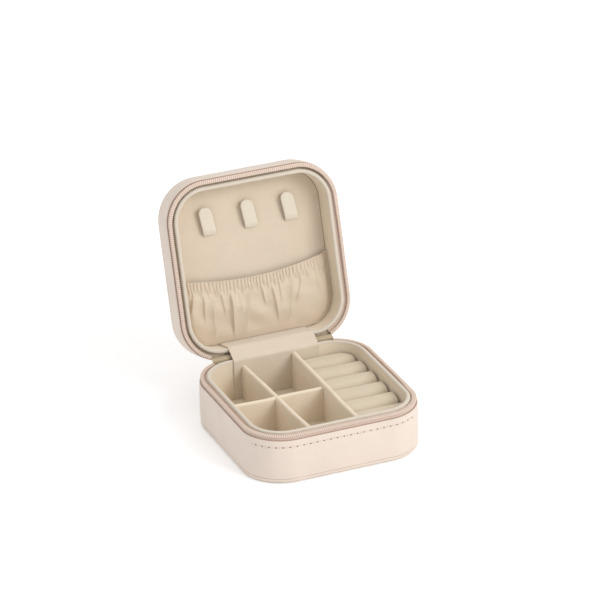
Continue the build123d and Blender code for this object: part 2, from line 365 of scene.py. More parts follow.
def effect(tree, kind, coordinates, **values):
    """The named effect group in a material, reading Object coordinates or the piece's UV."""
    found = bpy.data.node_groups.get(kind) or GROUPS[kind]()
    found.name = kind
    where = add(tree, "ShaderNodeTexCoord").outputs[coordinates]
    made = add(tree, "ShaderNodeGroup", node_tree=found)
    tree.links.new(where, made.inputs["Vector"])
    for key, value in values.items():
        made.inputs[key].default_value = value
    return made.outputs


def shade(colour, factor):
    """A colour made darker or lighter by a factor."""
    return (*(min(1.0, channel * factor) for channel in colour[:3]), 1.0)


def finish(name, colour, kind, coordinates="Object", dark=0.86, light=1.06, rough=(0.8, 0.9),
           bump=0.3, depth=0.0001, shader=None, **values):
    """A material: the effect's tone turns dark into light colour and moves the roughness, and its
    height feeds the bump. The shader's constants are set on its own sockets."""
    if name in bpy.data.materials:
        return bpy.data.materials[name]
    material = bpy.data.materials.new(name)
    material.use_nodes = True
    tree = material.node_tree
    surface = tree.nodes["Principled BSDF"]
    out = effect(tree, kind, coordinates, **values)
    ramp = add(tree, "ShaderNodeMapRange", {"Value": out["Tone"], "From Min": 0.3, "From Max": 0.7})
    tint = add(tree, "ShaderNodeMix", {"Factor": ramp.outputs[0]}, data_type="RGBA")
    tint.inputs[6].default_value = shade(colour, dark)
    tint.inputs[7].default_value = shade(colour, light)
    tree.links.new(tint.outputs[2], surface.inputs["Base Color"])
    spread = add(tree, "ShaderNodeMapRange",
                 {"Value": out["Tone"], "From Min": 0.3, "From Max": 0.7,
                                              "To Min": rough[1], "To Max": rough[0]})
    tree.links.new(spread.outputs[0], surface.inputs["Roughness"])
    relief = add(tree, "ShaderNodeBump",
                 {"Height": out["Height"], "Strength": bump, "Distance": depth})
    tree.links.new(relief.outputs[0], surface.inputs["Normal"])
    for key, value in (shader or {}).items():
        surface.inputs[key].default_value = value
    return material


def velvet(name, colour):
    """Velvet in a given colour."""
    return finish(name, colour, "nap", dark=0.95, light=1.03, rough=(0.86, 0.96), bump=0.25,
                  depth=0.00006,
                  shader={"Sheen Weight": 0.35, "Sheen Roughness": 0.45,
                          "Sheen Tint": (1.0, 0.95, 0.87, 1.0), "Specular IOR Level": 0.2})


def leather(props):
    """Smooth grained leather."""
    return finish("Cream leather", props.leather.colour, "grain", dark=0.955, light=1.02,
                  rough=(0.48, 0.60), bump=0.22, depth=0.00005,
                  shader={"Specular IOR Level": 0.4, "Coat Weight": 0.06, "Coat Roughness": 0.35})


# ---- Properties ----
def colour_property(name, description, default):
    """A colour setting."""
    return FloatVectorProperty(name=name, description=description, default=default, size=3,
                               subtype="COLOR", min=0, max=1)


def length_property(name, description, default):
    """A length setting, in metres."""
    return FloatProperty(name=name, description=description, default=default, min=0, unit="LENGTH",
                         subtype="DISTANCE")


class LeatherSettings(bpy.types.PropertyGroup):
    """Leather shells."""

    colour: colour_property("Leather colour", "Colour of the outer leather", (0.66, 0.565, 0.49))
    # Painted edges and painted shade: this colour also darkens the top-edge beads for the shadowed
    # groove between leather and zip tape.
    edge_paint_and_shade_colour: colour_property("Painted edge and shade colour", "Colour of the painted cut edges",
                                 (0.40, 0.275, 0.21))
    puff: length_property("Puff", "How far the sides swell between their edges", 0.00015)
    top_crown: length_property("Top crown", "How far the padded top stands up in its middle",
                               0.0005)


class StitchSettings(bpy.types.PropertyGroup):
    """Decorative stitch row on the front."""

    pitch: length_property("Stitch pitch", "Distance from stitch to stitch", 0.00382)
    height: length_property("Stitch height", "Height of the row above the floor", 0.0214)
    thread: length_property("Thread thickness", "Thickness of the sewing thread", 0.00042)
    colour: colour_property("Thread colour", "Colour of the thread", (0.68, 0.59, 0.50))


class ZipSettings(bpy.types.PropertyGroup):
    """Zip tapes and coils."""

    tooth_pitch: length_property("Tooth pitch", "Distance from tooth to tooth", 0.00115)
    tape_colour: colour_property("Tape colour", "Colour of the woven tape", (0.60, 0.46, 0.38))
    coil_colour: colour_property("Coil colour", "Colour of the nylon coil", (0.66, 0.52, 0.43))
    # Painted shade: this dark colour fills the groove beside the lid's coil in place of its shadow.
    groove_shade_colour: colour_property("Groove shade colour", "Colour of the groove beside the lid's coil",
                                 (0.20, 0.135, 0.09))
    metal_colour: colour_property("Metal colour", "Colour of the slider and puller",
                                  (0.88, 0.70, 0.44))


class LiningSettings(bpy.types.PropertyGroup):
    """Velvet lining and the holders."""

    wall_colour: colour_property("Wall colour", "Colour of the padded walls", (0.71, 0.615, 0.48))
    # Painted shade: a darker copy of the walls' velvet, to dim the rim tops where the light falls
    # most.
    rim_shade_colour: colour_property("Rim shade colour", "Colour of the cloth turned over the rims",
                                (0.59, 0.525, 0.44))
    # Painted shade: the dark line round the panel stands in for the shadow in the groove where panel
    # meets wall.
    seam_shade_colour: colour_property("Seam shade colour", "Colour of the seam round the lid's panel",
                                 (0.36, 0.28, 0.19))
    divider_colour: colour_property("Divider colour", "Colour of the dividers", (0.72, 0.62, 0.49))
    panel_colour: colour_property("Panel colour", "Colour of the lid's panel", (0.61, 0.515, 0.405))
    roll_colour: colour_property("Ring roll colour", "Colour of the ring rolls",
                                 (0.57, 0.49, 0.375))
    tab_colour: colour_property("Tab colour", "Colour of the necklace tabs", (0.64, 0.58, 0.475))
    flap_colour: colour_property("Flap colour", "Colour of the cloth over the hinge",
                                 (0.62, 0.535, 0.43))
    backing_colour: colour_property("Backing colour", "Colour of the cloth behind the hinge",
                                    (0.46, 0.37, 0.24))
    softness: length_property("Softness", "Unevenness of the padded walls", 0.00012)


class PocketSettings(bpy.types.PropertyGroup):
    """Gathered pocket."""

    colour: colour_property("Pocket colour", "Colour of the pocket cloth", (0.60, 0.497, 0.38))
    gather_depth: length_property("Gather depth", "Depth of the fine gathers at the mouth", 0.0009)
    fold_depth: length_property("Fold depth", "Depth of the long soft folds", 0.0020)
    gather_pitch: length_property("Gather pitch", "Distance from gather to gather", 0.0020)


class StageSettings(bpy.types.PropertyGroup):
    """Floor, light and camera."""

    key_power: FloatProperty(name="Key light", description="Power of the soft main light",
                             default=49.0, min=0, unit="POWER")
    top_power: FloatProperty(name="Top light", description="Power of the soft light above",
                             default=10.0, min=0, unit="POWER")
    sky: FloatProperty(name="Surround", description="Brightness of the white surround",
                       default=0.86, min=0)
    floor_colour: colour_property("Floor colour", "Colour of the floor", (0.93, 0.93, 0.93))
    lens: FloatProperty(name="Lens", description="Focal length of the camera", default=248.55,
                        min=1, unit="CAMERA")


class JewelryBoxSettings(bpy.types.PropertyGroup):
    """All settings of the jewelry box."""

    leather: PointerProperty(type=LeatherSettings, name="Leather", description="Leather shells")
    stitches: PointerProperty(type=StitchSettings, name="Stitches", description="Stitch row")
    zip: PointerProperty(type=ZipSettings, name="Zip", description="Zip tapes and coils")
    lining: PointerProperty(type=LiningSettings, name="Lining", description="Velvet lining")
    pocket: PointerProperty(type=PocketSettings, name="Pocket", description="Gathered pocket")
    stage: PointerProperty(type=StageSettings, name="Stage", description="Floor, light and camera")


# ---- Leather ----
def side_profile(low, high):
    """Closed wall profile (inset, z): a straight leather face with both edges rolled round."""
    roll = SKIN / 2
    bottom = 0.35
    parts = [
        line((0, low + bottom), (0, high - roll), 26),
        arc(roll, high - roll, roll, 180, 0, 9)[1:],
        line((SKIN, high - roll), (SKIN, low + 0.2), 4),
        line((SKIN, low + 0.2), (bottom, low), 3),
        arc(bottom, low + bottom, bottom, 270, 180, 5)[1:],
    ]
    return np.concatenate([[(0, low + bottom)], *parts])


def leather_side(props, low, high, seed, row_height=None):
    """A leather wall round the case: the side profile, swelled outwards by a half sine of the
    height, a little uneven, and pressed in along the stitch row across the front."""
    along = whole_round(0, 0.8)
    profile = side_profile(low, high)
    inset, z = profile[:, 0], profile[:, 1]
    outer = inset < 0.02
    turn = 2 * np.pi * along / outline_length(0)
    bow = np.sin(np.pi * np.clip((z - low) / (high - low), 0, 1))
    swell = to_mm(props.leather.puff) * bow * outer
    uneven = 0.05 * ripple(turn[:, None], z[None], seed) * outer * bow
    inset = inset[None] - swell[None] + uneven
    if row_height:
        across = stitch_window(along)[:, None]
        pull = 0.16 * np.exp(-(((z - row_height) / 0.55) ** 2))[None]
        inset = inset + pull * across * outer
    return carry(inset, np.broadcast_to(z, inset.shape), along)


def cover_profile():
    """Profile (inset, shrink, z) of the panel with a turned lip, from the middle of its outer
    face round the edge and the lip to the middle of its inner face."""
    edge, lip = 2.0, 0.3
    deep = 18.0
    rim = [(inset, 1.0, 0.0) for inset in (deep, 12.0, 8.0, 5.0, 3.4, 2.5)]
    bend = [(a, 1.0, b) for a, b in arc(edge, edge, edge, 270, 180, 9)]
    wall = [(0, 1.0, LIP_HEIGHT - lip)]
    roll = [(a, 1.0, b) for a, b in arc(lip, LIP_HEIGHT - lip, lip, 180, 90, 6)[1:]]
    inside = [(SKIN, 1.0, LIP_HEIGHT - 0.1), (SKIN, 1.0, SKIN), (deep, 1.0, SKIN)]
    outer_middle = [(deep, k, 0.0) for k in (0, 0.15, 0.3, 0.45, 0.6, 0.75, 0.88)]
    inner_middle = [(deep, k, SKIN) for k in (0.5, 0)]
    return np.array(outer_middle + rim + bend + wall + roll + inside + inner_middle, float)


def leather_cover(crown):
    """A leather panel: the cover profile carried round, its outer face crowned by crown times one
    less the fourth power of the distance from the middle."""
    along = whole_round(0, 1.2)
    profile = cover_profile()
    grid = carry(profile[:, 0], profile[:, 2], along, shrink=profile[:, 1])
    reach = np.abs(grid[..., :2]).max(-1) / HALF
    outer = (np.arange(len(profile)) < 13)[None]
    grid[..., 2] -= crown * (1 - np.clip(reach, 0, 1) ** 4) * outer
    return grid


def top_of(grid):
    """The same shape upside down, as the lid's side of the case: height z becomes the case height
    less z."""
    flipped = grid.copy()
    flipped[..., 2] = CASE_HEIGHT - grid[..., 2]
    return flipped


def edge_bead(z, inset, radius):
    """A thin round bead along the leather's cut edge: a circle carried round the case."""
    along = whole_round(inset, 0.9)
    circle = arc(inset, z, radius, 0, 360, 9)
    return carry(circle[:, 0], circle[:, 1], along, reference=inset)


class JEWELRYBOX_OT_leather(bpy.types.Operator):
    """Makes the leather sides, the bottom and top panels, and their painted edges; the top-edge
    beads also carry painted shade of the groove beside the zip
    """

    bl_idname = "jewelry_box.leather"
    bl_label = "Leather shells"
    bl_options = {"REGISTER", "UNDO"}

    def execute(self, context):
        props = context.scene.jewelry_box
        skin = leather(props)
        paint_and_shade = finish("Painted edge and groove shade", props.leather.edge_paint_and_shade_colour, "grain", dark=0.85, light=1.05,
                       rough=(0.5, 0.62), bump=0.1, depth=0.00003)
        lid_low = MIRROR_Z - LEATHER_TOP
        row = to_mm(props.stitches.height)
        side = make_piece("base_leather_side",
                          [leather_side(props, LIP_HEIGHT, LEATHER_TOP, 3, row)], skin)
        place(side, "base", ["base_side_cover"], "leather")
        cover = make_piece("base_leather_bottom", [leather_cover(-0.15)], skin)
        place(cover, "base", ["base_bottom_cover"], "leather")
        upper = leather_side(props, LIP_HEIGHT, CASE_HEIGHT - lid_low, 5)
        side = make_piece("lid_leather_side", [stand_open(top_of(upper))], skin)
        place(side, "lid", ["lid_side_cover"], "leather")
        crown = to_mm(props.leather.top_crown)
        cover = make_piece("lid_leather_top", [stand_open(top_of(leather_cover(crown)))], skin)
        place(cover, "lid", ["lid_top_cover"], "leather")
        # Top-edge bead: painted edge colour and painted shade of the groove between leather and zip
        # tape.
        bead = make_piece("base_edge_paint_and_shade", [edge_bead(LEATHER_TOP + 0.05, 0.62, 0.30)], paint_and_shade)
        place(bead, "base", [], "leather")
        bead = make_piece("base_seam_paint", [edge_bead(LIP_HEIGHT + 0.05, 0.33, 0.27)], paint_and_shade)
        place(bead, "base", [], "leather")
        bead = make_piece("lid_seam_paint",
                          [stand_open(top_of(edge_bead(LIP_HEIGHT + 0.05, 0.33, 0.27)))], paint_and_shade)
        place(bead, "lid", [], "leather")
        # Top-edge bead of the lid: painted edge colour and painted shade of the groove between
        # leather and zip tape.
        bead = make_piece("lid_edge_paint_and_shade", [stand_open(edge_bead(lid_low - 0.05, 0.62, 0.30))],
                          paint_and_shade)
        place(bead, "lid", [], "leather")
        return {"FINISHED"}


# ---- Stitches ----
STITCH_ENDS = (126.0, 224.0)


def stitch_window(along):
    """1 across the front between the ends of the stitch row, 0 elsewhere, smooth over 2 mm."""
    low, high = STITCH_ENDS
    return ease((along - low) / 2) * ease((high - along) / 2)


def stitch_row(props):
    """Threads and needle-hole discs of the row. A thread is a tube whose middle line follows the
    outline, sunk at its ends by the fourth power of the distance from its middle; a hole is a flat
    dome between two threads, dark with painted shade."""
    pitch, height, thick = (to_mm(value) for value in (props.stitches.pitch, props.stitches.height,
                                                       props.stitches.thread))
    low, high = STITCH_ENDS
    starts = np.arange(low, high, pitch)
    share = np.linspace(-1, 1, 9)
    along = starts[:, None] + (pitch / 2) + share[None] * pitch * 0.40
    sunk = 0.20 + 0.32 * share**4 - 0.28 * (1 - share**4)
    size = thick / 2 * (1 - 0.35 * share**6)
    angle = np.radians(np.linspace(0, 360, 9))
    point, outward = walk(0, along)
    middle = point - sunk[None, :, None] * outward
    rise = 0.12 * share
    size = size[None, :, None]
    flat = middle[:, :, None] + outward[:, :, None] * (size * np.cos(angle))[..., None]
    z = height + rise[None, :, None] + size * np.sin(angle) + np.zeros(flat.shape[:3])
    threads = np.concatenate([flat, z[..., None]], -1)
    first = np.broadcast_to(threads[:, :1, :-1].mean(2, keepdims=True), threads[:, :1].shape)
    last = np.broadcast_to(threads[:, -1:, :-1].mean(2, keepdims=True), threads[:, -1:].shape)
    threads = np.concatenate([first, threads, last], 1)
    point, outward = walk(0, starts)
    tangent = np.stack([-outward[:, 1], outward[:, 0]], -1)
    radius = np.array([0.0, 0.25, 0.42, 0.50, 0.42, 0.0])
    lift = np.array([0.05, 0.05, 0.02, -0.08, -0.3, -0.35])
    ring = radius[None, :, None] * np.cos(angle)
    raised = outward[:, None, None] * lift[None, :, None, None]
    flat = point[:, None, None] + raised + tangent[:, None, None] * ring[..., None]
    z = height + radius[None, :, None] * np.sin(angle) + np.zeros(flat.shape[:3])
    hole_shades = np.concatenate([flat, z[..., None]], -1)
    return threads, hole_shades


class JEWELRYBOX_OT_stitches(bpy.types.Operator):
    """Makes the stitch row along the front of the base"""

    bl_idname = "jewelry_box.stitches"
    bl_label = "Front stitches"
    bl_options = {"REGISTER", "UNDO"}

    def execute(self, context):
        props = context.scene.jewelry_box
        threads, hole_shades = stitch_row(props)
        cotton = finish("Sewing thread", props.stitches.colour, "nap", dark=0.88, light=1.05,
                        rough=(0.6, 0.75), bump=0.4, depth=0.00005, Scale=6000.0)
        # The needle-hole discs are dark with painted shade.
        dark = finish("Needle hole shade", (0.20, 0.13, 0.09), "grain", rough=(0.8, 0.9))
        place(make_piece("front_stitch_threads", [threads], cotton), "base", [])
        place(make_piece("front_stitch_hole_shades", [hole_shades], dark), "base", [])
        return {"FINISHED"}


# ---- Zip ----
def zip_distances(inset, step):
    """Distances round the outline between the zip's two ends, which stop short at the back."""
    length = outline_length(inset)
    count = int(round((length - 2 * ZIP_END) / step)) + 1
    return np.linspace(ZIP_END, length - ZIP_END, count)


def front_window(along):
    """1 round the front and its corners, 0 along the sides and back, with a slow step between."""
    return ease((along - 106) / 20) * ease((outline_length(0) - 106 - along) / 20)


def tooth_count(pitch):
    """Whole number of teeth along the zip, near the given pitch."""
    return int((outline_length(1.4) - 2 * ZIP_END) / pitch)


def coil(pitch, lean):
    """A zip coil: a rounded bar whose section grows and shrinks once a tooth by the square root of
    a sine, so that each tooth is a rib with a narrow valley beside it, with a groove along its top.
    Across the front the bar is wider by lean, on its inner side. Also its places for the tooth
    shade, painted into the valleys between the teeth, a quarter tooth back."""
    middle, z_middle = 1.5, (COIL_LOW + COIL_HIGH) / 2
    half_width, half_height = 1.0, (COIL_HIGH - COIL_LOW) / 2
    length = outline_length(1.4) - 2 * ZIP_END
    teeth = tooth_count(pitch)
    along = np.linspace(ZIP_END, ZIP_END + length, teeth * 6 + 1)
    rib = np.sqrt(np.abs(np.sin(np.pi * teeth * (along - ZIP_END) / length)))
    angle = np.radians(np.linspace(0, 360, 21))
    round_off = 0.75
    a = np.sign(np.cos(angle)) * np.abs(np.cos(angle)) ** round_off
    b = np.sign(np.sin(angle)) * np.abs(np.sin(angle)) ** round_off
    size = 0.78 + 0.22 * rib[:, None]
    wider = lean / 2 * front_window(along)[:, None]
    inset = middle + wider + (half_width + wider) * size * a
    groove = 0.28 * np.exp(-((a / 0.24) ** 2)) * (b > 0)
    z = z_middle + half_height * size * b - groove
    grid = with_ends(carry(inset, z, along, reference=1.4))
    run = np.concatenate([along[:1], along, along[-1:]]) - ZIP_END - length / teeth / 4
    return grid, np.stack([np.broadcast_to(run[:, None], grid.shape[:2]), np.zeros(grid.shape[:2])],
                          -1)


def facing(low_top, high_top, start=0.0):
    """The strip that closes the groove between the coil and the padded wall: a low bar with a
    rounded top carried round the case, its top rising from one height to another past a share of
    the way."""
    along = zip_distances(SKIN, 1.0)
    inner, outer, foot, round_off = LINER_OUT - 0.05, 1.5, 24.2, 0.15
    top = low_top + (high_top - low_top) * ease((along - start * outline_length(0)) / 16)
    # Each point of the section: inset, and its drop below the top.
    section = [(outer, None), (outer, round_off), (outer + 0.3, 0.0)]
    section += [(inset, drop) for inset, drop in line((outer + 0.3, 0), (inner, 0.1), 4)]
    section += [(inner, None), (outer, None)]
    inset = np.array([point[0] for point in section])
    z = np.stack([np.full_like(top, foot) if drop is None else top - drop for _, drop in section],
                 -1)
    grid = with_ends(carry(np.broadcast_to(inset, z.shape), z, along, reference=SKIN))
    along = np.concatenate([along[:1], along, along[-1:]])
    return grid, np.stack(np.broadcast_arrays(along[:, None], inset[None]), -1)


def tape(low, high):
    """A zip tape: a thin flat strip carried round the case, and its places for the weave."""
    along = zip_distances(SKIN, 1.0)
    thickness = 0.5
    profile = np.concatenate([[(SKIN, low)], line((SKIN, low), (SKIN, high), 10),
                              line((SKIN, high), (SKIN + thickness, high), 1),
                              line((SKIN + thickness, high), (SKIN + thickness, low), 4),
                              line((SKIN + thickness, low), (SKIN, low), 1)])
    grid = with_ends(carry(profile[:, 0], profile[:, 1], along, reference=SKIN))
    along = np.concatenate([along[:1], along, along[-1:]])
    places = np.stack(np.broadcast_arrays(along[:, None],
                                          profile[None, :, 1] - profile[None, :, 0]), -1)
    return grid, places


def closed_over(grid):
    """The same shape on the other side of the meeting plane of the two halves."""
    flipped = grid.copy()
    flipped[..., 2] = MIRROR_Z - grid[..., 2]
    return flipped


class JEWELRYBOX_OT_zip(bpy.types.Operator):
    """Makes the zip's woven tapes and nylon coils"""

    bl_idname = "jewelry_box.zip"
    bl_label = "Zip"
    bl_options = {"REGISTER", "UNDO"}

    def execute(self, context):
        props = context.scene.jewelry_box
        woven = finish("Zip tape", props.zip.tape_colour, "weave", "UV", dark=0.78, light=1.08,
                       rough=(0.7, 0.85), bump=0.6, depth=0.0001, shader={"Sheen Weight": 0.15},
                       Pitch=0.0009, Slant=0.8)
        pitch = to_mm(props.zip.tooth_pitch)
        tooth = (outline_length(1.4) - 2 * ZIP_END) / tooth_count(pitch) * MM
        # The coil's tone darkens the valley beside each tooth: painted shade.
        nylon = finish("Nylon coil with painted tooth shade", props.zip.coil_colour, "weave", "UV", dark=0.74, light=1.05,
                       rough=(0.42, 0.55), bump=0.1, depth=0.00005,
                       shader={"Specular IOR Level": 0.45}, Pitch=tooth, Slant=1.0)
        # Painted shade: a dark strip low in the groove beside the lid's coil, where its shadow
        # falls.
        shaded = finish("Painted groove shade", props.zip.groove_shade_colour, "nap", dark=0.9, light=1.0)
        tape_top = COIL_LOW + 0.1
        rows = (
            ("base_coil", coil(pitch, BASE_LEAN), nylon, ["base_zip_coil"], "zip_coil"),
            ("lid_coil", coil(pitch, LID_LEAN), nylon, ["lid_zip_coil"], "zip_coil"),
            ("base_zip_facing", facing(BASE_FACING, BASE_FACING), woven, [], "zip_tape"),
            # Dark strip of painted shade in the lid's groove.
            ("lid_glue_line", facing(GROOVE_SHADE_TOP, GROOVE_SHADE_TOP), shaded, [], "zip_tape"),
            ("lid_zip_facing", facing(*LID_FACING), woven, [], "zip_tape"),
            ("base_tape", tape(TAPE_DEPTH_LOW, tape_top), woven, ["base_zip_tape"], "zip_tape"),
            ("lid_tape", tape(TAPE_DEPTH_HIGH, tape_top), woven, ["lid_zip_tape"], "zip_tape"),
        )
        for name, (shape, places), material, nodes, slot in rows:
            body = name.split("_")[0]
            if body == "lid":
                shape = stand_open(closed_over(shape))
            crease = 80 if material == nylon else 50
            place(make_piece(name, [shape], material, [places], crease=crease), body, nodes, slot)
        return {"FINISHED"}


# ---- Lining ----
def liner_wall(low, rim, softness, seed):
    """A padded wall: a closed profile with its rim rolled round, carried round the case, its
    inner face a little uneven between floor and rim."""
    along = whole_round(LINER_OUT, 1.0)
    radius = (LINER_IN - LINER_OUT) / 2
    middle = LINER_OUT + radius
    squeeze = 1.05
    crown = arc(0, 0, 1, 180, 0, 17)
    top = np.stack([middle + radius * crown[:, 0], rim - squeeze + squeeze * crown[:, 1]], -1)
    profile = np.concatenate([[(LINER_OUT, low)], line((LINER_OUT, low), top[0], 6), top[1:],
                              line(top[-1], (LINER_IN, low), 18),
                              line((LINER_IN, low), (LINER_OUT, low), 2)])
    inset, z = profile[:, 0], profile[:, 1]
    turn = 2 * np.pi * along / outline_length(LINER_OUT)
    inner = ease((inset - middle) / radius) * np.sin(np.pi * np.clip((z - low) / (rim + 3 - low), 0,
                                                                     1))
    on_rim = np.exp(-(((z - rim) / 1.0) ** 2))
    soft = ripple(turn[:, None], z[None], seed)
    inset = inset[None] - softness * inner * (0.8 + soft)
    return carry(inset, z[None] + 0.6 * softness * soft * on_rim, along, reference=LINER_OUT)


def rim_binding(wall):
    """The cloth turned over a padded wall's rim, darker than the walls as painted shade on its lit
    top:
    the wall's rounded top rows grown a hair outwards from the middle of the rim, with a hidden under
    face nearer the middle."""
    top = wall[:, 6:23]
    middle = (top[:, :1] + top[:, -1:]) / 2
    over = middle + (top - middle) * 1.035
    under = middle + (top[:, ::-1] - middle) * 0.7
    return np.concatenate([over, under, over[:, :1]], 1)


def pad(points, centre, low, high, edge, crown, seed):
    """A flat pad of any outline: rings drawn in towards the centre, its upper edge rounded, its
    face crowned by one less the square of the distance and a little uneven."""
    arm = points - centre
    size = np.linalg.norm(arm, axis=-1, keepdims=True)
    rings = [(0.0, 1, 0.0, low), (0.0, 0, 0.0, low), (0.0, 0, 0.0, high - edge)]
    rings += [(edge * (1 - math.cos(a)), 0, 0.0,
               high - edge + edge * math.sin(a)) for a in np.radians((20, 45, 70, 90))]
    rings += [(edge, 0, k, high) for k in (0.08, 0.2, 0.35, 0.5, 0.65, 0.8, 0.92, 1.0)]
    rows = []
    for drawn, middle, share, z in rings:
        reach = (1 - drawn / size) * (1 - share) * (1 - middle)
        flat = centre + arm * reach
        lift = crown * (1 - (1 - share) ** 2) * (share > 0)
        uneven = 0.12 * unevenness(flat[:, 0], flat[:, 1], seed,
                                   22) * (share > 0) * ease(share / 0.2)
        rows.append(np.concatenate([flat, (z + lift + uneven)[:, None]], -1))
    return np.stack(rows, 1)


class JEWELRYBOX_OT_lining(bpy.types.Operator):
    """Makes the padded velvet walls, the floor pad and the lid's panel"""

    bl_idname = "jewelry_box.lining"
    bl_label = "Velvet lining"
    bl_options = {"REGISTER", "UNDO"}

    def execute(self, context):
        props = context.scene.jewelry_box
        soft = to_mm(props.lining.softness)
        walls = velvet("Velvet wall", props.lining.wall_colour)
        panel = velvet("Velvet panel", props.lining.panel_colour)
        # The rim cloth's darker colour is painted shade on the rim tops.
        turned = velvet("Velvet rim shade", props.lining.rim_shade_colour)
        base_wall = liner_wall(FLOOR_LOW, BASE_RIM, soft, 11)
        place(make_piece("base_rim_binding_shade", [rim_binding(base_wall)], turned), "base", [],
              "velvet")
        wall = make_piece("base_padded_wall", [base_wall], walls)
        place(wall, "base", ["base_liner_wall"], "velvet")
        lid_wall = stand_open(closed_over(liner_wall(MIRROR_Z - PANEL_FACE, MIRROR_Z - LID_RIM,
                                                     soft, 12)))
        place(make_piece("lid_rim_binding_shade", [rim_binding(lid_wall)], turned), "lid", [], "velvet")
        wall = make_piece("lid_padded_wall", [lid_wall], walls)
        place(wall, "lid", ["lid_liner_wall"], "velvet")
        edge, _ = walk(LINER_IN, whole_round(LINER_IN, 1.2))
        floor = make_piece("floor_pad",
                           [pad(edge, np.zeros(2), FLOOR_LOW, FLOOR_TOP - 0.1, 0.5, 0.1, 13)],
                           walls)
        place(floor, "base", ["base_floor_pad"], "velvet")
        edge, _ = walk(LINER_OUT + 0.05, whole_round(LINER_OUT + 0.05, 1.2))
        face = pad(edge, np.zeros(2), MIRROR_Z - PANEL_FACE - 0.9, MIRROR_Z - PANEL_FACE, 0.1, 0.25,
                   14)
        # A thin dark bead round the panel's edge: painted shade of the groove where the panel meets
        # the wall.
        seam = velvet("Velvet seam shade", props.lining.seam_shade_colour)
        seam_shade_line = stand_open(edge_bead(PANEL_FACE - 0.05, LINER_IN + 0.1, 0.26))
        place(make_piece("lid_panel_seam_shade", [seam_shade_line], seam), "lid", [], "velvet")
        face = make_piece("lid_padded_panel", [stand_open(closed_over(face))], panel)
        place(face, "lid", ["lid_panel"], "velvet")
        return {"FINISHED"}


def divider(start, end, top, seed, sag=0.25):
    """A soft upright divider: a section with a round top and straight sides, carried from start
    to end, its line bowed by a sine, its top sagging in the middle and a little uneven."""
    thickness = 2.6
    half = thickness / 2
    along = np.linspace(0, 1, 61)
    crown = arc(0, 0, 1, 180, 0, 13)
    across = np.concatenate([[-half], np.full(8, -half), half * crown[1:, 0], np.full(8, half),
                             [-half]])
    up = np.concatenate([[0], np.linspace(0, 1, 9)[1:], np.ones(12), np.linspace(1, 0, 9)[1:], [0]])
    rise = np.concatenate([np.zeros(9), crown[1:, 1], np.zeros(9)])
    run = np.array(end, float) - np.array(start, float)
    length = np.linalg.norm(run)
    run = run / length
    side = np.array([-run[1], run[0]])
    draw = np.random.default_rng(seed)
    phase = draw.uniform(0, 2 * np.pi, 3)
    distance = along * length
    bow = 0.22 * np.sin(np.pi * along) * np.sin(2 * np.pi * along * 1.3 + phase[0])
    high = top - 1.25 - sag * np.sin(np.pi * along) + 0.08 * np.sin(distance / 5 + phase[1])
    height = FLOOR_TOP + (high[:, None] - FLOOR_TOP) * up[None] + 1.25 * rise[None]
    pinch = 1 - 0.05 * np.sin(np.pi * up)[None] * np.sin(distance / 9 + phase[2])[:, None]
    offset = across[None] * pinch + bow[:, None] * up[None]
    flat = np.array(start)[None, None] + run * distance[:, None, None] + side * offset[..., None]
    return with_ends(np.concatenate([flat, height[..., None]], -1))


class JEWELRYBOX_OT_dividers(bpy.types.Operator):
    """Makes the three velvet dividers"""

    bl_idname = "jewelry_box.dividers"
    bl_label = "Dividers"
    bl_options = {"REGISTER", "UNDO"}

    def execute(self, context):
        props = context.scene.jewelry_box
        cloth = velvet("Velvet divider", props.lining.divider_colour)
        back, front = 42.95, -43.6
        lean = math.tan(math.radians(2.5))
        ends = {
            "centre_divider": ((-17.3 - lean * back, back), (-17.3 - lean * front, front), 25.2,
                               "divider_centre"),
            "cross_divider": ((-43.6, 1.6), (9.0, 1.6), 24.95, "divider_cross"),
            "ring_divider": ((10.3, back), (10.3, front), 27.2, "divider_ring"),
        }
        for number, (name, (start, end, top, node)) in enumerate(ends.items()):
            piece = make_piece(name, [divider(start, end, top, 21 + number)], cloth)
            place(piece, "base", [node], "velvet")
        return {"FINISHED"}


# ---- Ring rolls ----
ROLL_LEFT = 11.75
ROLL_RADIUS = 6.6
ROLL_AXIS = 16.2
ROLL_PITCH = 13.8
ROLL_FIRST = 36.4
BED_TOP = 12.0


def roll_right(y):
    """How far right a roll reaches at depth y, to stay inside the lining's rounded corner."""
    gap = 1.4
    past = np.clip(np.abs(y) - STRAIGHT, 0, None)
    radius = CORNER - LINER_IN - gap
    return STRAIGHT + np.sqrt(np.clip(radius**2 - past**2, 0, None))


def ring_roll(number):
    """A foam ring roll: a flattened round section, cut flat where it lies on the bed, carried
    across the case, with its ends closed by a dome and its face a little uneven."""
    y_middle = ROLL_FIRST - number * ROLL_PITCH
    angle = np.radians(np.linspace(-40, 220, 33))
    a = np.sign(np.cos(angle)) * np.abs(np.cos(angle)) ** 0.66
    b = np.sign(np.sin(angle)) * np.abs(np.sin(angle)) ** 0.90
    a, b = np.append(a, a[0]), np.append(b, b[0])
    t = np.concatenate([[0, 0, 0.003, 0.009, 0.02], np.linspace(0.05, 0.95, 30),
                        [0.98, 0.991, 0.997, 1, 1]])
    near = np.clip(1 - t / 0.02, 0, 1)
    far = np.clip(1 - (1 - t) / 0.02, 0, 1)
    round_end = 1 - np.sqrt(np.clip(1 - np.maximum(near, far) ** 2, 0, 1))
    size = ROLL_RADIUS - 0.6 * round_end
    size[[0, -1]] = 0
    y = y_middle + size[:, None] * a[None]
    z = ROLL_AXIS + size[:, None] * b[None]
    low = BED_TOP + 0.05
    z = np.maximum(z, low)
    x = ROLL_LEFT + t[:, None] * (roll_right(y) - ROLL_LEFT)
    lift = 0.14 * unevenness(x, y, 40 + number, 14) * (size > 0)[:, None] * (z > low + 0.5)
    return np.stack([x, y, z + lift], -1)


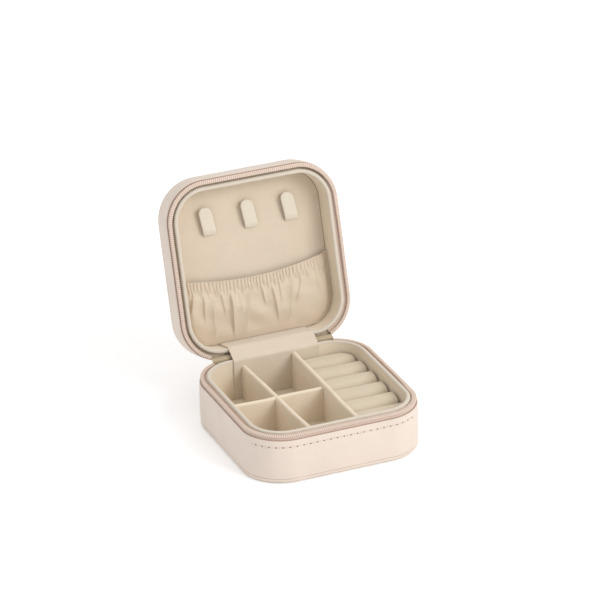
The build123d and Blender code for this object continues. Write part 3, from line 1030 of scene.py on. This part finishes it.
class JEWELRYBOX_OT_ring_rolls(bpy.types.Operator):
    """Makes the six ring rolls and the foam bed under them"""

    bl_idname = "jewelry_box.ring_rolls"
    bl_label = "Ring rolls"
    bl_options = {"REGISTER", "UNDO"}

    def execute(self, context):
        props = context.scene.jewelry_box
        cloth = velvet("Velvet roll", props.lining.roll_colour)
        for number in range(ROLLS):
            piece = make_piece(f"velvet_roll_{number + 1}", [ring_roll(number)], cloth, crease=70)
            place(piece, "base", [f"ring_roll_{number + 1}"], "velvet")
        edge, _ = walk(LINER_IN + 0.05, whole_round(LINER_IN + 0.05, 1.2))
        edge = np.stack([np.maximum(edge[:, 0], ROLL_LEFT), np.clip(edge[:, 1], -INNER, 42.9)], -1)
        keep = np.linalg.norm(np.diff(edge, axis=0), axis=-1) > 1e-6
        edge = edge[np.append(True, keep)]
        bed = make_piece("velvet_ring_bed",
                         [pad(edge, np.array((27.0, 0.0)), FLOOR_TOP, BED_TOP, 0.5, 0, 15)], cloth)
        place(bed, "base", ["ring_bed"], "velvet")
        return {"FINISHED"}


# ---- Necklace tabs ----
def tab(x_middle):
    """A necklace tab: a flat oval section carried along a path that leaves the panel and stands
    off it, as wide as a half circle allows near the tip."""
    half_width, thickness = 3.8, 1.4
    foot, tip = -17.3, -33.2
    share = np.concatenate([[0, 0.002, 0.008, 0.02, 0.04], np.linspace(0.07, 0.80, 24),
                            [0.85, 0.89, 0.92, 0.95, 0.97, 0.985, 0.995, 0.999, 1]])
    y = foot + (tip - foot) * share
    off = 1.5 * np.clip((foot - y + 0.3) / 3.0, 0, 1) ** 0.7 + 0.8 * np.clip((foot - y) / 15.0, 0,
                                                                             1)
    z = PANEL_FACE - thickness / 2 - off
    past_tip = np.clip(1 - np.abs(y - tip) / half_width, 0, 1)
    past_foot = np.clip(1 - np.abs(y - foot) / 1.0, 0, 1)
    wide = np.sqrt(1 - past_tip**2) * (0.8 + 0.2 * np.sqrt(1 - past_foot**2))
    thick = np.clip(1 - past_tip**6, 0, 1) ** 0.5
    wide[[0]] = 0
    thick[[0]] = 0
    angle = np.radians(np.linspace(0, 360, 33))
    blunt_wide, blunt_thick = 0.45, 0.75
    a = np.sign(np.cos(angle)) * np.abs(np.cos(angle)) ** blunt_wide
    b = np.sign(np.sin(angle)) * np.abs(np.sin(angle)) ** blunt_thick
    slant = 1.2 - 2.2 * share[:, None]
    x = x_middle + slant + half_width * wide[:, None] * a[None]
    height = z[:, None] - thickness / 2 * thick[:, None] * b[None]
    return np.stack([x, np.broadcast_to(y[:, None], x.shape), height], -1)


class JEWELRYBOX_OT_tabs(bpy.types.Operator):
    """Makes the three necklace tabs"""

    bl_idname = "jewelry_box.tabs"
    bl_label = "Necklace tabs"
    bl_options = {"REGISTER", "UNDO"}

    def execute(self, context):
        props = context.scene.jewelry_box
        cloth = velvet("Velvet tab", props.lining.tab_colour)
        for number, x in enumerate(TAB_PLACES):
            piece = make_piece(f"necklace_tab_{number + 1}", [stand_open(tab(x))], cloth, crease=70)
            place(piece, "lid", [f"hook_tab_{number + 1}"], "velvet")
        return {"FINISHED"}


# ---- Gathered pocket ----
def mouth_height(x):
    """Depth y of the pocket's mouth: the circle through its two ends and its highest middle
    point."""
    (x1, y1), (x2, y2), (x3, y3) = (-50.0, 3.4), (-2.0, 9.1), (50.0, 1.6)
    matrix = np.array([[x1, y1, 1], [x2, y2, 1], [x3, y3, 1]], float)
    a, b, c = np.linalg.solve(matrix, -np.array([x1**2 + y1**2, x2**2 + y2**2, x3**2 + y3**2]))
    return -b / 2 + np.sqrt(a**2 / 4 + b**2 / 4 - c - (x + a / 2) ** 2) * np.sign(y2 + b / 2)


# Each crease: x where it leaves the band, drift by the foot, first and last depth, height, and how
# wide it is on its left and right. A steep left side lies in shade, a steep right side in light.
CREASES = np.array([
    (-35.5, -11.0, 0.16, 0.85, 0.90, 0.35, 2.20),
    (-31.5, -2.0, 0.17, 0.70, 0.60, 0.40, 1.60),
    (-27.3, 0.0, 0.16, 0.99, 0.90, 2.20, 0.40),
    (-22.0, 3.0, 0.16, 0.60, 0.50, 0.40, 1.40),
    (-16.3, 0.0, 0.15, 1.02, 1.00, 0.35, 2.60),
    (-11.5, 1.0, 0.16, 0.60, 0.50, 1.50, 0.50),
    (-3.8, -7.0, 0.15, 1.00, 0.90, 2.40, 0.40),
    (1.5, 4.0, 0.16, 0.55, 0.50, 0.40, 1.50),
    (7.2, 4.0, 0.17, 0.90, 0.70, 0.50, 2.40),
    (13.0, -1.0, 0.15, 0.55, 0.50, 0.40, 1.40),
    (21.3, -5.5, 0.14, 0.95, 0.85, 2.20, 0.40),
    (29.5, -14.0, 0.20, 0.62, 0.50, 0.60, 1.60),
    (35.0, 1.5, 0.14, 0.60, 0.40, 0.90, 0.60),
])


def folds(x, depth, props):
    """Height of the cloth above its smooth swell: fine gathers in the elastic band at the mouth,
    a puff where the band ends, creases whose sides fall off by a rounded exponential, and slow
    unevenness."""
    gather, fold = to_mm(props.pocket.gather_depth), to_mm(props.pocket.fold_depth)
    pitch = to_mm(props.pocket.gather_pitch)
    push = 0.35 * np.sin(x / 2.9 + 1.0) + 0.5 * np.sin(x / 7.7)
    end = 0.19 + 0.03 * np.sin(x * 1.3) + 0.02 * np.sin(x * 2.9 + 2)
    band = 1 - ease((depth - end + 0.10) / 0.16)
    right_calm = 1 - 0.4 * ease((x - 20) / 16)
    fine = np.sqrt(np.abs(np.sin(np.pi * (x + push) / pitch))) * band * right_calm
    puff = 0.25 * np.exp(-(((depth - end + 0.05) / 0.07) ** 2))
    start_x, drift, first, last, height, left, right = (CREASES[:, k, None, None] for k in range(7))
    run = np.clip((depth - first) / (last - first), 0, 1)
    away = x - start_x - drift * depth
    width = np.where(away < 0, left, right)
    shape = np.exp(-(np.sqrt(away**2 + 0.01) - 0.1) / width)
    strength = ease(run / 0.18) * (1 - ease((run - 0.6) / 0.4))
    creases = (height * shape * strength).sum(0)
    slow = 0.35 * unevenness(x, depth * 36, 9, 15) * np.sin(np.pi * depth)
    return gather * fine + puff + fold * (creases + slow)


def pocket_surface(props):
    """Middle surface of the pocket, lid closed: across x, down from the mouth to the foot, off
    the panel by a swell that is fullest two thirds down, and folded. Its side edges follow the
    padded wall."""
    rows, columns = 90, 430
    depth = np.linspace(0, 1, rows)[:, None] ** 1.15
    share = np.linspace(-1, 1, columns)[None]
    foot = 42.5
    guess = share * (INNER - 0.25)
    y = mouth_height(guess) * (1 - depth) + foot * depth
    past = np.clip(np.abs(y) - STRAIGHT, 0, None)
    radius = CORNER - LINER_IN - 0.2
    reach = STRAIGHT + np.sqrt(np.clip(radius**2 - past**2, 0.0, None))
    x = share * reach
    swell = np.interp(y, (-2, 6, 12, 18, 24, 30, 36, 39, 41.1, 42.7),
                      (2.2, 2.5, 3.2, 4.0, 4.1, 3.5, 2.3, 1.6, 0.9, 0.35))
    edge = ease((1 - np.abs(share)) / 0.10)
    lift = 0.55 + (swell - 0.55) * (0.35 + 0.65 * edge) + folds(x, depth + 0 * x,
                                                                props) * (0.25 + 0.75 * edge)
    return np.stack([x, y, PANEL_FACE - lift], -1), depth + 0 * x


class JEWELRYBOX_OT_pocket(bpy.types.Operator):
    """Makes the gathered pocket on the lid's panel"""

    bl_idname = "jewelry_box.pocket"
    bl_label = "Gathered pocket"
    bl_options = {"REGISTER", "UNDO"}

    def execute(self, context):
        props = context.scene.jewelry_box
        surface, depth = pocket_surface(props)
        hem = 0.45 + 0.75 * np.exp(-((depth / 0.03) ** 2))
        places = np.stack(np.broadcast_arrays(np.linspace(0, 110, surface.shape[1])[None],
                                              depth * 42), -1)
        cloth = finish("Pocket cloth", props.pocket.colour, "weave", "UV", dark=0.93, light=1.03,
                       rough=(0.55, 0.68), bump=0.25, depth=0.00004,
                       shader={"Sheen Weight": 0.3, "Sheen Roughness": 0.4,
                               "Sheen Tint": (1.0, 0.95, 0.88, 1.0)},
                       Pitch=0.0004, Slant=0.0)
        parts = [stand_open(part) for part in thick_sheet(surface, hem)]
        piece = make_piece("gathered_pocket", parts, cloth, sheet_uv(places), crease=75)
        place(piece, "lid", ["pocket"], "satin")
        return {"FINISHED"}


# ---- Hinge ----
def rounded_path(corners, radius, step):
    """A path of straight runs with its corners rounded by arcs, and points a step apart."""
    corners = [np.array(corner, float) for corner in corners]
    points = [corners[0][None]]
    for before, corner, after in zip(corners, corners[1:], corners[2:]):
        u, v = (before - corner), (after - corner)
        u, v = u / np.linalg.norm(u), v / np.linalg.norm(v)
        half = math.acos(np.clip(u @ v, -1, 1)) / 2
        cut = radius / math.tan(half)
        share = np.linspace(0, 1, 9)[:, None]
        start, end = corner + u * cut, corner + v * cut
        points.append((1 - share) ** 2 * start + 2 * share * (1 - share) * corner + share**2 * end)
    points.append(corners[-1][None])
    path = np.concatenate(points)
    length = np.concatenate([[0], np.cumsum(np.linalg.norm(np.diff(path, axis=0), axis=-1))])
    even = np.linspace(0, length[-1], max(8, int(length[-1] / step)))
    return np.stack([np.interp(even, length, path[:, k]) for k in (0, 1)], -1), even


def opened_point(y, z):
    """Where a closed-lid point of the side view stands when the lid is open."""
    return stand_open(np.array([0.0, y, z]))[1:]


def strip(corners, radius, half_width, thickness, columns, step, sag=None):
    """A strip across the hinge: a side-view path carried along x, and its flat places."""
    path, length = rounded_path(corners, radius, step)
    x = np.linspace(-half_width, half_width, columns)
    grid = np.stack(np.broadcast_arrays(x[None], path[:, None, 0], path[:, None, 1]), -1).copy()
    if sag is not None:
        grid = grid + directions(grid) * sag(x[None], length[:, None] / length[-1])[..., None]
    places = np.stack(np.broadcast_arrays(x[None], length[:, None]), -1)
    return thick_sheet(grid, np.full(grid.shape[:2], thickness)), sheet_uv(places), length[-1]


class JEWELRYBOX_OT_hinge(bpy.types.Operator):
    """Makes the leather spine, the backing cloth and the velvet flap, shaped round the hinge with
    the lid open
    """

    bl_idname = "jewelry_box.hinge"
    bl_label = "Soft hinge"
    bl_options = {"REGISTER", "UNDO"}

    def execute(self, context):
        props = context.scene.jewelry_box
        spine_y = 48.85
        corners = [(spine_y, 16.0), (HINGE_Y, HINGE_Z), opened_point(spine_y, 35.0)]
        parts, places, length = strip(corners, 0.8, 27.0, 0.4, 55, 0.25)
        spine = make_piece("leather_spine", parts, leather(props), places)
        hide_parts("hinge_spine")
        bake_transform(spine)

        backing_y = 47.5
        khaki = finish("Backing cloth", props.lining.backing_colour, "weave", "UV", dark=0.75,
                       light=1.1, rough=(0.75, 0.9), bump=0.6, depth=0.0001,
                       shader={"Sheen Weight": 0.15}, Pitch=0.0007, Slant=0.0)
        corners = [(backing_y, 22.6), (backing_y, 28.6), opened_point(backing_y, 28.6),
                   opened_point(backing_y, 33.6)]
        parts, places, length = strip(corners, 0.5, ZIP_END, 0.3, 73, 0.25)
        backing = make_piece("hinge_backing_cloth", parts, khaki, places)
        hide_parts("hinge_backing")
        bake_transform(backing)

        flap_y = 43.35
        cloth = velvet("Velvet flap", props.lining.flap_colour)
        corners = [(flap_y, FLOOR_TOP), (flap_y, 28.45), opened_point(flap_y, 29.3),
                   opened_point(flap_y, 42.2)]

        def soft(x, share):
            """Soft unevenness where the flap spans the gap."""
            return 0.10 * unevenness(x, share * 45, 31,
                                     16) * np.sin(np.pi * np.clip(share, 0, 1)) - 0.05

        parts, places, length = strip(corners, 1.35, 25.0, 0.7, 61, 0.4, soft)
        flap = make_piece("hinge_cloth_flap", parts, cloth, places)
        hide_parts("hinge_flap")
        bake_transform(flap)
        return {"FINISHED"}


# ---- Carried-over nodes ----
class JEWELRYBOX_OT_hardware(bpy.types.Operator):
    """Gives the zip slider, its puller and the hidden boards their finishes"""

    bl_idname = "jewelry_box.hardware"
    bl_label = "Hardware and boards"
    bl_options = {"REGISTER", "UNDO"}

    def execute(self, context):
        props = context.scene.jewelry_box
        metal = finish("Pale gold", props.zip.metal_colour, "nap", dark=0.94, light=1.03,
                       rough=(0.20, 0.32), bump=0.05, depth=0.00003, shader={"Metallic": 1.0},
                       Scale=1800.0)
        card = finish("Grey board", (0.42, 0.34, 0.25), "nap", dark=0.85, light=1.1,
                      rough=(0.85, 0.95), bump=0.3, depth=0.0001, Scale=2500.0)
        finishes = {"zip_slider": (metal, "zip_metal"), "zip_puller": (metal, "zip_metal")}
        finishes.update({name: (card, "board") for name in NODES if name.endswith("_board")})
        for name, (material, slot) in finishes.items():
            node = NODES[name]
            node.data.materials.clear()
            node.data.materials.append(material)
        return {"FINISHED"}


# ---- Stage ----
# In metres: the floor's half width and its small drop below z = 0, the lights, and the camera
# fitted to the photo with its axes.
SQUARE = ((-1, -1), (1, -1), (1, 1), (-1, 1))
FLOOR_REACH, FLOOR_DROP = 6.0, 0.0001
LIGHT_TARGET = (0, 0, 0.05)
KEY_PLACE, KEY_SIZE = (1.5, -2.2, 1.8), 1.6
TOP_PLACE, TOP_SIZE = (-0.3, 0.6, 2.6), 1.8
SENSOR_WIDTH = 36.0
CAMERA_PLACE = (-0.76436, -1.82389, 1.02805)
CAMERA_RIGHT = (0.91913114, -0.3934798, -0.01927669)
CAMERA_UP = (0.18628116, 0.39097744, 0.9013523)
CAMERA_FORWARD = (0.34712718, 0.83205185, -0.43265742)


def soft_light(name, location, target, size, power):
    """A square soft light that faces a target."""
    lamp = bpy.data.lights.new(name, "AREA")
    lamp.shape = "SQUARE"
    lamp.size = size
    lamp.energy = power
    light = bpy.data.objects.new(name, lamp)
    bpy.context.scene.collection.objects.link(light)
    place, aim = np.array(location, float), np.array(target, float)
    back = (place - aim) / np.linalg.norm(place - aim)
    across = np.cross((0, 0, 1), back)
    across = across / np.linalg.norm(across)
    turn = np.stack([across, np.cross(back, across), back], 1)
    light.matrix_world = Matrix.Translation(place) @ Matrix(turn.tolist()).to_4x4()
    return light


class JEWELRYBOX_OT_stage(bpy.types.Operator):
    """Makes the pale floor, the soft light and the camera"""

    bl_idname = "jewelry_box.stage"
    bl_label = "Floor, light and camera"
    bl_options = {"REGISTER", "UNDO"}

    def execute(self, context):
        props = context.scene.jewelry_box
        scene = bpy.context.scene
        scene.view_settings.view_transform = "Standard"
        world = bpy.data.worlds.new("Studio")
        scene.world = world
        world.use_nodes = True
        surround = world.node_tree.nodes["Background"]
        surround.inputs["Color"].default_value = (1.0, 0.995, 0.99, 1.0)
        surround.inputs["Strength"].default_value = props.stage.sky
        mesh = bpy.data.meshes.new("floor")
        corners = [(x * FLOOR_REACH, y * FLOOR_REACH, -FLOOR_DROP) for x, y in SQUARE]
        mesh.from_pydata(corners, [], [(0, 1, 2, 3)])
        floor = bpy.data.objects.new("floor", mesh)
        scene.collection.objects.link(floor)
        paper = bpy.data.materials.new("Floor paper")
        paper.use_nodes = True
        surface = paper.node_tree.nodes["Principled BSDF"]
        surface.inputs["Base Color"].default_value = (*props.stage.floor_colour, 1.0)
        surface.inputs["Roughness"].default_value = 0.6
        surface.inputs["Emission Color"].default_value = (1, 1, 1, 1)
        surface.inputs["Emission Strength"].default_value = 0.12
        mesh.materials.append(paper)
        key = soft_light("key_light", KEY_PLACE, LIGHT_TARGET, KEY_SIZE, props.stage.key_power)
        top = soft_light("top_light", TOP_PLACE, LIGHT_TARGET, TOP_SIZE, props.stage.top_power)
        lens = bpy.data.cameras.new("camera")
        lens.lens = props.stage.lens
        lens.sensor_width = SENSOR_WIDTH
        lens.clip_end = 50.0
        camera = bpy.data.objects.new("camera", lens)
        scene.collection.objects.link(camera)
        axes = np.stack([CAMERA_RIGHT, CAMERA_UP, -np.array(CAMERA_FORWARD)], 1)
        camera.matrix_world = Matrix.Translation(CAMERA_PLACE) @ Matrix(axes.tolist()).to_4x4()
        scene.camera = camera
        return {"FINISHED"}


OPERATORS = (
    JEWELRYBOX_OT_stage,
    JEWELRYBOX_OT_leather,
    JEWELRYBOX_OT_stitches,
    JEWELRYBOX_OT_zip,
    JEWELRYBOX_OT_lining,
    JEWELRYBOX_OT_dividers,
    JEWELRYBOX_OT_ring_rolls,
    JEWELRYBOX_OT_tabs,
    JEWELRYBOX_OT_pocket,
    JEWELRYBOX_OT_hinge,
    JEWELRYBOX_OT_hardware,
)


class JEWELRYBOX_PT_panel(bpy.types.Panel):
    """Lists the settings and the pieces of the jewelry box"""

    bl_label = "Jewelry Box"
    bl_idname = "JEWELRYBOX_PT_panel"
    bl_space_type = "VIEW_3D"
    bl_region_type = "UI"
    bl_category = "Jewelry Box"

    def draw(self, context):
        layout = self.layout
        groups = context.scene.jewelry_box
        for name in ("leather", "stitches", "zip", "lining", "pocket", "stage"):
            box = layout.box()
            box.label(text=name.capitalize())
            group = getattr(groups, name)
            for key in group.__annotations__:
                box.prop(group, key)
        for operator in OPERATORS:
            layout.operator(operator.bl_idname)


CLASSES = (
    LeatherSettings,
    StitchSettings,
    ZipSettings,
    LiningSettings,
    PocketSettings,
    StageSettings,
    JewelryBoxSettings,
    *OPERATORS,
    JEWELRYBOX_PT_panel,
)


def register():
    """Registers the classes and hangs the settings on the scene."""
    for made in CLASSES:
        bpy.utils.register_class(made)
    bpy.types.Scene.jewelry_box = PointerProperty(type=JewelryBoxSettings)


def unregister():
    """Takes the settings and classes away again."""
    del bpy.types.Scene.jewelry_box
    for made in reversed(CLASSES):
        bpy.utils.unregister_class(made)


def main():
    """Makes the whole box."""
    register()
    for operator in OPERATORS:
        section, name = operator.bl_idname.split(".")
        getattr(getattr(bpy.ops, section), name)()


if __name__ == "__main__":
    main()
